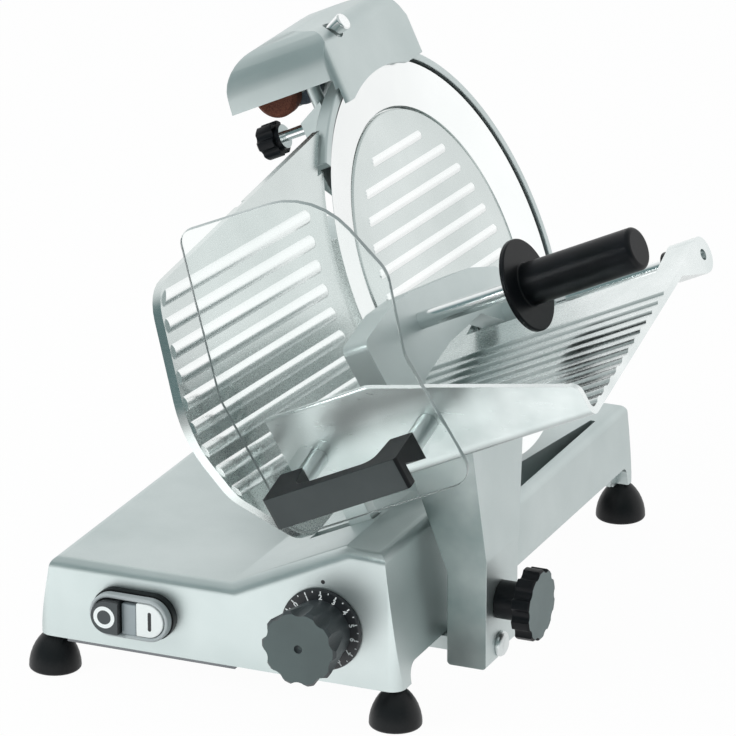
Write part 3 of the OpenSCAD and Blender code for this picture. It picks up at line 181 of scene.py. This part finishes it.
polished_sheet = metal("polished_sheet", (0.56, 0.61, 0.60), (0.64, 0.69, 0.68), (0.22, 0.32), 1.0,
                       stretch=(0.05, 1, 1), turn=(0, LEAN, 0), grit=1200.0, relief=0.04)
ground_steel = metal("ground_steel", (0.80, 0.82, 0.82), (0.86, 0.88, 0.88), (0.12, 0.2), 1.0, relief=0.02)
mirror_steel = metal("mirror_steel", (0.86, 0.885, 0.88), (0.90, 0.92, 0.915), (0.14, 0.24), 1.0, relief=0.02)
satin_steel = metal("satin_steel", (0.62, 0.66, 0.66), (0.70, 0.74, 0.74), (0.32, 0.42), 1.0, relief=0.02)
# Raised ribs of the blade cover and gauge plate: a brighter copy of the sheet steel, painted highlight.
rib_painted_highlight = metal("rib_painted_highlight", (0.84, 0.87, 0.865), (0.90, 0.92, 0.915), (0.22, 0.3), 1.0, relief=0.02)
dark_steel = metal("dark_steel", (0.16, 0.17, 0.18), (0.22, 0.23, 0.24), (0.4, 0.5), 1.0)
black_moulding = moulding("black_moulding", (0.004, 0.005, 0.006), (0.007, 0.008, 0.010), (0.34, 0.44),
                          shine=0.16)
grey_black_moulding = moulding("grey_black_moulding", (0.035, 0.042, 0.046), (0.045, 0.054, 0.058),
                               (0.42, 0.55))
dial_black = moulding("dial_black", (0.012, 0.014, 0.016), (0.02, 0.022, 0.025), (0.4, 0.5))
glossy_black = moulding("glossy_black", (0.012, 0.013, 0.015), (0.02, 0.022, 0.024), (0.25, 0.32))
white_cap = moulding("white_cap", (0.78, 0.80, 0.795), (0.83, 0.85, 0.845), (0.3, 0.38))
grey_bezel = moulding("grey_bezel", (0.36, 0.39, 0.40), (0.42, 0.45, 0.46), (0.35, 0.45))
smoke_lens = moulding("smoke_lens", (0.22, 0.26, 0.28), (0.28, 0.32, 0.34), (0.2, 0.28), coat=0.4)
black_rubber = moulding("black_rubber", (0.005, 0.006, 0.007), (0.009, 0.010, 0.011), (0.36, 0.46),
                        shine=0.25)
motor_paint = moulding("motor_paint", (0.04, 0.043, 0.05), (0.055, 0.06, 0.066), (0.4, 0.5))
nylon = moulding("nylon", (0.70, 0.66, 0.52), (0.76, 0.72, 0.58), (0.4, 0.5))
bronze = metal("bronze", (0.42, 0.27, 0.10), (0.52, 0.34, 0.14), (0.3, 0.4))
red_stone = bonded_grit("red_stone", (0.10, 0.03, 0.02), (0.24, 0.085, 0.05))
blue_stone = bonded_grit("blue_stone", (0.10, 0.12, 0.15), (0.20, 0.23, 0.28))
clear_acrylic = clear_sheet("clear_acrylic")
# Edge faces of the hand guard: opaque grey, painted shade for the clear sheet seen edge-on.
guard_edge_painted_shade = moulding("guard_edge_painted_shade", (0.22, 0.27, 0.27), (0.32, 0.37, 0.37), (0.25, 0.35), coat=0.3)
grey_face = moulding("grey_face", (0.15, 0.19, 0.19), (0.18, 0.225, 0.225), (0.5, 0.6))
# Front face of the dial knob: a lighter grey-black than the knob's sides.
dial_face_lighter_black = moulding("dial_face_lighter_black", (0.065, 0.085, 0.085), (0.08, 0.105, 0.105), (0.5, 0.6))
# Front end face of the tray handle: a lighter black than the rest of the handle.
handle_end_lighter_black = moulding("handle_end_lighter_black", (0.034, 0.042, 0.043), (0.046, 0.055, 0.056), (0.45, 0.55), shine=0.3)
mark_white = moulding("mark_white", (0.80, 0.82, 0.82), (0.86, 0.88, 0.88), (0.45, 0.55))
mark_black = moulding("mark_black", (0.012, 0.012, 0.014), (0.02, 0.02, 0.022), (0.45, 0.55))

FINISH = {
    cast_aluminium: ["base_casting", "drive_housing", "rear_cover", "sharpener_bracket", "gauge_arm",
                     "slide_block", "carriage_arm", "sharpener_hood", "sharpener_frame"],
    blasted_aluminium: ["press_plate", "ring_guard"],
    brushed_tray: ["tray"],
    polished_sheet: ["gauge_plate", "blade_cover", "slice_deflector"],
    mirror_steel: ["blade"],
    ground_steel: ["guide_rod", "guide_bar", "bearings", "cover_tie_rod", "gauge_rod", "blade_shaft",
                   "motor_shaft", "dial_shaft", "follower_pin", "pusher_rod",
                   "pusher_sleeve", "handle_rod", "foot_screws", "cover_screws", "stone_button"],
    satin_steel: ["arm_bolt", "handle_posts"],
    dark_steel: ["bottom_plate", "blade_pulley", "motor_pulley"],
    black_moulding: ["cover_knob", "cable_gland", "tray_handle", "tray_knob", "pusher_grip",
                     "sharpener_knob", "contact_block"],
    grey_black_moulding: ["dial_knob"],
    dial_black: ["dial_disc"],
    glossy_black: ["stop_button"],
    white_cap: ["start_button"],
    grey_bezel: ["switch_bezel"],
    smoke_lens: ["pilot_lens"],
    black_rubber: ["feet", "switch_gasket", "drive_belt", "rod_bumper"],
    motor_paint: ["motor"],
    nylon: ["gauge_cam", "guide_shoe"],
    bronze: ["slide_bushes"],
    clear_acrylic: ["hand_guard"],
    red_stone: ["grinding_stone"],
    blue_stone: ["honing_stone"],
}


def finish_mesh(mesh, name, materials, body):
    """Puts a finished mesh into the scene, riding on a body."""
    for material in materials:
        mesh.materials.append(material)
    piece = bpy.data.objects.new(name, mesh)
    bpy.context.scene.collection.objects.link(piece)
    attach(piece, body)
    return piece


def finish_shape(shape, name, materials, body, smooth=SOFT_ANGLE):
    """Turns a bmesh into a piece with soft shading up to an angle."""
    mesh = bpy.data.meshes.new(name)
    for face in shape.faces:
        face.smooth = True
    for edge in shape.edges:
        if edge.is_manifold:
            edge.smooth = edge.calc_face_angle() < math.radians(smooth)
    shape.to_mesh(mesh)
    shape.free()
    return finish_mesh(mesh, name, materials, body)


def soften(node, material, edge=0.8, steps=3, accent=None, where=None):
    """A copy of a CAD node with its edges broken, as on a real casting or moulding.

    Faces for which where(centre, normal) holds get the accent material: a second finish, or on some nodes
    painted shade or painted highlight.
    """
    shape = bmesh.new()
    shape.from_mesh(NODES[node].data)
    bmesh.ops.remove_doubles(shape, verts=shape.verts, dist=WELD)
    bmesh.ops.dissolve_degenerate(shape, edges=shape.edges, dist=WELD)
    bmesh.ops.dissolve_limit(shape, angle_limit=math.radians(0.5), verts=shape.verts, edges=shape.edges,
                             delimit={"NORMAL"})
    materials = [material]
    if accent:
        materials.append(accent)
        for face in shape.faces:
            face.material_index = int(where(face.calc_center_median(), face.normal))
    sharp = SHARP.get(node, SOFT_ANGLE)
    piece = finish_shape(shape, node + "_finished", materials, BODY[node], sharp)
    if edge:
        bevel = piece.modifiers.new("edges", "BEVEL")
        bevel.width = edge * MM
        bevel.segments = steps
        bevel.limit_method = "ANGLE"
        bevel.angle_limit = math.radians(sharp)
        bevel.harden_normals = True
        bevel.use_clamp_overlap = True
    weigh = piece.modifiers.new("shading", "WEIGHTED_NORMAL")
    weigh.keep_sharp = True
    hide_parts(node)
    return piece


# CAD nodes: each gets its finish, and those that show get broken edges, in millimetres.
# Nodes in SHARP keep edges above a smaller angle.
SHARP = {"ring_guard": 12, "blade": 4, "blade_cover": 20}
EDGES = {
    "base_casting": 1.2, "drive_housing": 1.0, "rear_cover": 0.8, "sharpener_bracket": 0.8,
    "slide_block": 0.8, "carriage_arm": 1.4, "sharpener_hood": 1.2, "sharpener_frame": 0.5,
    "tray": 0.8, "press_plate": 1.0, "ring_guard": 0.5, "gauge_plate": 0.6, "blade_cover": 0.4,
    "slice_deflector": 0.3, "blade": 0, "guide_rod": 0.5, "guide_bar": 0.5, "arm_bolt": 0.5,
    "handle_posts": 0.4, "pusher_rod": 0.6, "pusher_sleeve": 0.6, "handle_rod": 0.6,
    "cover_screws": 0.4, "stone_button": 0.6, "bottom_plate": 0.4, "cover_knob": 1.2,
    "cable_gland": 0.6, "tray_handle": 1.6, "tray_knob": 1.4, "pusher_grip": 1.0,
    "sharpener_knob": 0.9, "dial_knob": 1.2, "dial_disc": 0.4, "stop_button": 0.8,
    "start_button": 0.8, "switch_bezel": 1.2, "pilot_lens": 0.6, "feet": 0.8, "switch_gasket": 0.5,
    "rod_bumper": 0.8, "hand_guard": 0.5, "grinding_stone": 0.4, "honing_stone": 0.4,
    "gauge_arm": 0.5,
}


def outwards(centre):
    """Distance out of the blade's face, in millimetres."""
    return (centre - BLADE).dot(OUT) / MM


# Where raised forms begin, out of the blade's face: the sharpener knob's stud and the ribs
STUD_FROM = -62.5
COVER_RIBS_FROM = -4.95
GAUGE_RIBS_FROM = -3.9

# Second materials: which one, and on which faces of the node. Some are second finishes; the arm's front, the
# tray's wall and the guard's edges carry painted shade, and the ribs of the cover and gauge plate a painted
# highlight.
ACCENTS = {
    "hand_guard": (guard_edge_painted_shade, lambda centre, normal: abs(normal.dot(ALONG_TRAY)) < 0.5),
    "sharpener_knob": (ground_steel, lambda centre, normal: outwards(centre) > STUD_FROM),
    "stop_button": (grey_black_moulding, lambda centre, normal: normal.dot(FRONT) > 0.9),
    "dial_knob": (dial_face_lighter_black, lambda centre, normal: normal.dot(FRONT) > 0.9),
    "blade_cover": (rib_painted_highlight, lambda centre, normal: outwards(centre) > COVER_RIBS_FROM),
    "gauge_plate": (rib_painted_highlight, lambda centre, normal: outwards(centre) > GAUGE_RIBS_FROM),
    "tray": (tray_wall_painted_shade, lambda centre, normal: normal.dot(FRONT) > 0.45),
    "carriage_arm": (arm_front, lambda centre, normal: normal.dot(FRONT) > 0.4),
    "tray_knob": (grey_face, lambda centre, normal: normal.x > 0.9),
    "tray_handle": (handle_end_lighter_black, lambda centre, normal: normal.dot(ALONG_TRAY) < -0.9),
}

for material, nodes in FINISH.items():
    for node in nodes:
        if node in EDGES:
            soften(node, material, EDGES[node], 3, *ACCENTS.get(node, (None, None)))
        else:
            NODES[node].data.materials.clear()
            NODES[node].data.materials.append(material)


# Printed marks: thin closed shapes drawn in X and Y, with Z out of the face

PRINT = 0.06 * MM

# Dial: largest setting, setting at rest and turn for each millimetre, then the scale's radii and half widths
DIAL_LAST = 14
DIAL_SET = 2
DIAL_STEP = 24.5
SCALE_R = 28.4 * MM
LONG_LINE_R = 26.3 * MM
LONG_LINE_W = 0.42 * MM
SHORT_LINE_R = 27.2 * MM
SHORT_LINE_W = 0.36 * MM
FIGURE_R = 23.9 * MM
FIGURE_H = 3.7 * MM
INDEX_R = 1.5 * MM
INDEX_ASIDE = 0.5 * MM
INDEX_Z = 101 * MM

# Switch: ring on stop, bar with round ends on start
RING_OUTER = 8.0 * MM
RING_INNER = 5.2 * MM
BAR_HALF = 5.7 * MM
BAR_R = 1.3 * MM


def facing_front(x, y, z):
    """Places a mark on a face that looks forward."""
    place = Matrix(((1, 0, 0), (0, 0, -1), (0, 1, 0))).to_4x4()
    place.translation = (x, y, z)
    return place


def stamp(points):
    """A thin plate with the given outline."""
    shape = bmesh.new()
    face = shape.faces.new([shape.verts.new((x, y, -PRINT)) for x, y in points])
    top = bmesh.ops.extrude_face_region(shape, geom=[face])["geom"]
    raised = [part for part in top if isinstance(part, bmesh.types.BMVert)]
    bmesh.ops.translate(shape, verts=raised, vec=(0, 0, 2 * PRINT))
    bmesh.ops.recalc_face_normals(shape, faces=shape.faces)
    return shape


def ring_stamp(outer, inner, steps=64):
    """A thin flat ring."""
    shape = bmesh.new()
    profile = [(inner, -PRINT), (outer, -PRINT), (outer, PRINT), (inner, PRINT)]
    corners = [shape.verts.new((r, 0, z)) for r, z in profile]
    edges = [shape.edges.new((corners[i], corners[i - 1])) for i in range(4)]
    bmesh.ops.spin(shape, geom=corners + edges, cent=(0, 0, 0), axis=(0, 0, 1), angle=2 * math.pi,
                   steps=steps, use_merge=True)
    bmesh.ops.remove_doubles(shape, verts=shape.verts, dist=1e-7)
    bmesh.ops.recalc_face_normals(shape, faces=shape.faces)
    return shape


def arc(x, y, radius, start, end, steps=12):
    """Points of an arc, angles in degrees."""
    turns = [math.radians(start + (end - start) * i / steps) for i in range(steps + 1)]
    return [(x + radius * math.cos(t), y + radius * math.sin(t)) for t in turns]


def figure(text, height):
    """A figure as a thin closed shape, about its own middle."""
    curve = bpy.data.curves.new("figure", "FONT")
    curve.body = text
    curve.size = height / 0.7
    curve.align_x = "CENTER"
    curve.align_y = "CENTER"
    curve.extrude = PRINT
    curve.offset = 0.035 * height
    curve.resolution_u = 4
    holder = bpy.data.objects.new("figure", curve)
    bpy.context.scene.collection.objects.link(holder)
    drawn = bpy.data.meshes.new_from_object(holder.evaluated_get(bpy.context.evaluated_depsgraph_get()))
    shape = bmesh.new()
    shape.from_mesh(drawn)
    bmesh.ops.remove_doubles(shape, verts=shape.verts, dist=1e-7)
    bpy.data.objects.remove(holder)
    bpy.data.curves.remove(curve)
    bpy.data.meshes.remove(drawn)
    return shape


def print_marks(name, marks, material, body):
    """Joins placed marks into one printed piece."""
    joined = bmesh.new()
    for shape, place in marks:
        sheet = bpy.data.meshes.new("mark")
        bmesh.ops.transform(shape, matrix=place, verts=shape.verts)
        shape.to_mesh(sheet)
        shape.free()
        joined.from_mesh(sheet)
        bpy.data.meshes.remove(sheet)
    return finish_shape(joined, name, [material], body)


def front_of(node):
    """The foremost face of a CAD node, and the middle of that face."""
    low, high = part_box(node)
    return Vector(((low[0] + high[0]) / 2, low[1], (low[2] + high[2]) / 2))


def print_dial():
    """Scale of the dial: a figure and a long line for each millimetre, a short line between."""
    face = front_of("dial_disc")
    marks = []
    for half in range(2 * DIAL_LAST + 1):
        turn = Matrix.Rotation(-math.radians((half / 2 - DIAL_SET) * DIAL_STEP), 4, "Z")
        place = facing_front(*face) @ turn
        whole = half % 2 == 0
        inner = LONG_LINE_R if whole else SHORT_LINE_R
        width = LONG_LINE_W if whole else SHORT_LINE_W
        line = [(-width, inner), (width, inner), (width, SCALE_R), (-width, SCALE_R)]
        marks.append((stamp(line), place))
        if whole:
            up = Matrix.Translation((0, FIGURE_R, 0))
            marks.append((figure(str(half // 2), FIGURE_H), place @ up))
    print_marks("dial_scale", marks, mark_white, "dial")
    dot = stamp(arc(0, 0, INDEX_R, 0, 345, 23))
    spot = facing_front(face.x + INDEX_ASIDE, front_of("base_casting").y, INDEX_Z)
    print_marks("dial_index", [(dot, spot)], mark_black, "machine")


def print_switch():
    """Ring on the stop button and bar on the start button."""
    stop = front_of("stop_button")
    ring = ring_stamp(RING_OUTER, RING_INNER)
    print_marks("stop_mark", [(ring, facing_front(*stop))], mark_white, BODY["stop_button"])
    start = front_of("start_button")
    bar = arc(0, BAR_HALF, BAR_R, 0, 180) + arc(0, -BAR_HALF, BAR_R, 180, 360)
    print_marks("start_mark", [(stamp(bar), facing_front(*start))], mark_black, BODY["start_button"])


print_dial()
print_switch()


# Studio: pale floor, one soft lamp and a long lens at the photograph's angle

FLOOR_HALF = 12
FLOOR_GREY = 0.8
FLOOR_SEEN = 0.97
NEAR_GLOW = 0.75
FAR_GLOW = -1.2
SKY_BRIGHT = (1.12, 1.12, 1.12)
SKY_DIM = (0.16, 0.24, 0.245)
OVERHEAD_DIM = 0.55
LENS = 294.4
CAMERA_PLACE = (1.5410, -3.6414, 1.6223)
CAMERA_AIM = (-0.3726, 0.8637, -0.3395)


def sum_node(tree, operation, first, second):
    """A math node on two sockets or numbers."""
    node = tree.nodes.new("ShaderNodeMath")
    node.operation = operation
    for socket, value in zip(node.inputs, (first, second)):
        if isinstance(value, (int, float)):
            socket.default_value = value
        else:
            tree.links.new(value, socket)
    return node.outputs[0]


def fade(tree, value, start, end, low, high):
    """A smooth fade of a value."""
    node = tree.nodes.new("ShaderNodeMapRange")
    node.interpolation_type = "SMOOTHSTEP"
    for name, number in (("From Min", start), ("From Max", end), ("To Min", low), ("To Max", high)):
        node.inputs[name].default_value = number
    tree.links.new(value, node.inputs["Value"])
    return node.outputs["Result"]


def blend_colours(tree, share, first, second):
    """A mix of two colours, or of a colour and a colour socket."""
    node = tree.nodes.new("ShaderNodeMix")
    node.data_type = "RGBA"
    tree.links.new(share, node.inputs["Factor"])
    for socket, colour in zip((node.inputs[6], node.inputs[7]), (first, second)):
        if isinstance(colour, tuple):
            socket.default_value = (*colour, 1)
        else:
            tree.links.new(colour, socket)
    return node.outputs[2]


def studio_white(name, diffuse):
    """A pale floor, white to the camera; metal sees it brighter close in front and dimmer far ahead."""
    material = bpy.data.materials.new(name)
    material.use_nodes = True
    tree = material.node_tree
    tree.nodes.clear()
    out = tree.nodes.new("ShaderNodeOutputMaterial")
    paint = tree.nodes.new("ShaderNodeBsdfDiffuse")
    paint.inputs["Color"].default_value = (diffuse, diffuse, diffuse, 1)
    glow = tree.nodes.new("ShaderNodeEmission")
    mix = tree.nodes.new("ShaderNodeMixShader")
    path = tree.nodes.new("ShaderNodeLightPath")
    place = tree.nodes.new("ShaderNodeTexCoord")
    parts = tree.nodes.new("ShaderNodeSeparateXYZ")
    tree.links.new(place.outputs["Object"], parts.inputs[0])
    near = fade(tree, parts.outputs["Y"], -0.32, -0.12, NEAR_GLOW, 0.0)
    far = fade(tree, parts.outputs["Y"], -1.15, -0.65, FAR_GLOW, 0.0)
    lit = sum_node(tree, "MULTIPLY", sum_node(tree, "ADD", near, far), path.outputs["Is Glossy Ray"])
    tree.links.new(sum_node(tree, "ADD", lit, 1.0), glow.inputs["Strength"])
    seen = sum_node(tree, "MAXIMUM", path.outputs["Is Camera Ray"], path.outputs["Is Glossy Ray"])
    seen = sum_node(tree, "MAXIMUM", seen, path.outputs["Is Transmission Ray"])
    tree.links.new(sum_node(tree, "MULTIPLY", seen, FLOOR_SEEN), mix.inputs[0])
    tree.links.new(paint.outputs[0], mix.inputs[1])
    tree.links.new(glow.outputs[0], mix.inputs[2])
    tree.links.new(mix.outputs[0], out.inputs["Surface"])
    return material


def add_floor():
    """One flat square under the machine."""
    shape = bmesh.new()
    bmesh.ops.create_grid(shape, x_segments=1, y_segments=1, size=FLOOR_HALF)
    mesh = bpy.data.meshes.new("floor")
    shape.to_mesh(mesh)
    shape.free()
    mesh.materials.append(studio_white("floor_white", FLOOR_GREY))
    floor = bpy.data.objects.new("floor", mesh)
    bpy.context.scene.collection.objects.link(floor)


def add_world():
    """White to the camera; as a light it is bright at the back and dim overhead and in front."""
    world = bpy.data.worlds.new("studio")
    bpy.context.scene.world = world
    world.use_nodes = True
    tree = world.node_tree
    background = tree.nodes["Background"]
    path = tree.nodes.new("ShaderNodeLightPath")
    place = tree.nodes.new("ShaderNodeTexCoord")
    parts = tree.nodes.new("ShaderNodeSeparateXYZ")
    tree.links.new(place.outputs["Generated"], parts.inputs[0])
    above = fade(tree, parts.outputs["Z"], 0.45, 0.85, 0.0, OVERHEAD_DIM)
    ahead = fade(tree, parts.outputs["Y"], -0.45, 0.35, 1.0, 0.0)
    low = fade(tree, parts.outputs["Z"], 0.5, 0.8, 1.0, 0.0)
    dim = sum_node(tree, "MAXIMUM", above, sum_node(tree, "MULTIPLY", ahead, low))
    light = blend_colours(tree, dim, SKY_BRIGHT, SKY_DIM)
    seen = sum_node(tree, "MAXIMUM", path.outputs["Is Camera Ray"], path.outputs["Is Transmission Ray"])
    tree.links.new(blend_colours(tree, seen, light, (1, 1, 1)), background.inputs["Color"])


def add_lamp(name, place, aim, size, power):
    """A soft lamp, hidden from reflections."""
    lamp = bpy.data.lights.new(name, "AREA")
    lamp.shape = "RECTANGLE"
    lamp.size, lamp.size_y = size
    lamp.energy = power
    holder = bpy.data.objects.new(name, lamp)
    holder.location = place
    holder.rotation_euler = (Vector(aim) - Vector(place)).to_track_quat("-Z", "Y").to_euler()
    holder.visible_glossy = False
    bpy.context.scene.collection.objects.link(holder)


def add_camera():
    """A camera far off with a long lens."""
    camera = bpy.data.cameras.new("camera")
    camera.sensor_width = 36
    camera.lens = LENS
    camera.clip_end = 50
    holder = bpy.data.objects.new("camera", camera)
    holder.location = CAMERA_PLACE
    holder.rotation_euler = Vector(CAMERA_AIM).to_track_quat("-Z", "Y").to_euler()
    bpy.context.scene.collection.objects.link(holder)
    bpy.context.scene.camera = holder


add_floor()
add_world()
add_lamp("key", (-1.7, -2.2, 1.4), (0, 0, 0.15), (1.6, 1.2), 60)
add_camera()
bpy.context.scene.view_settings.view_transform = "Standard"
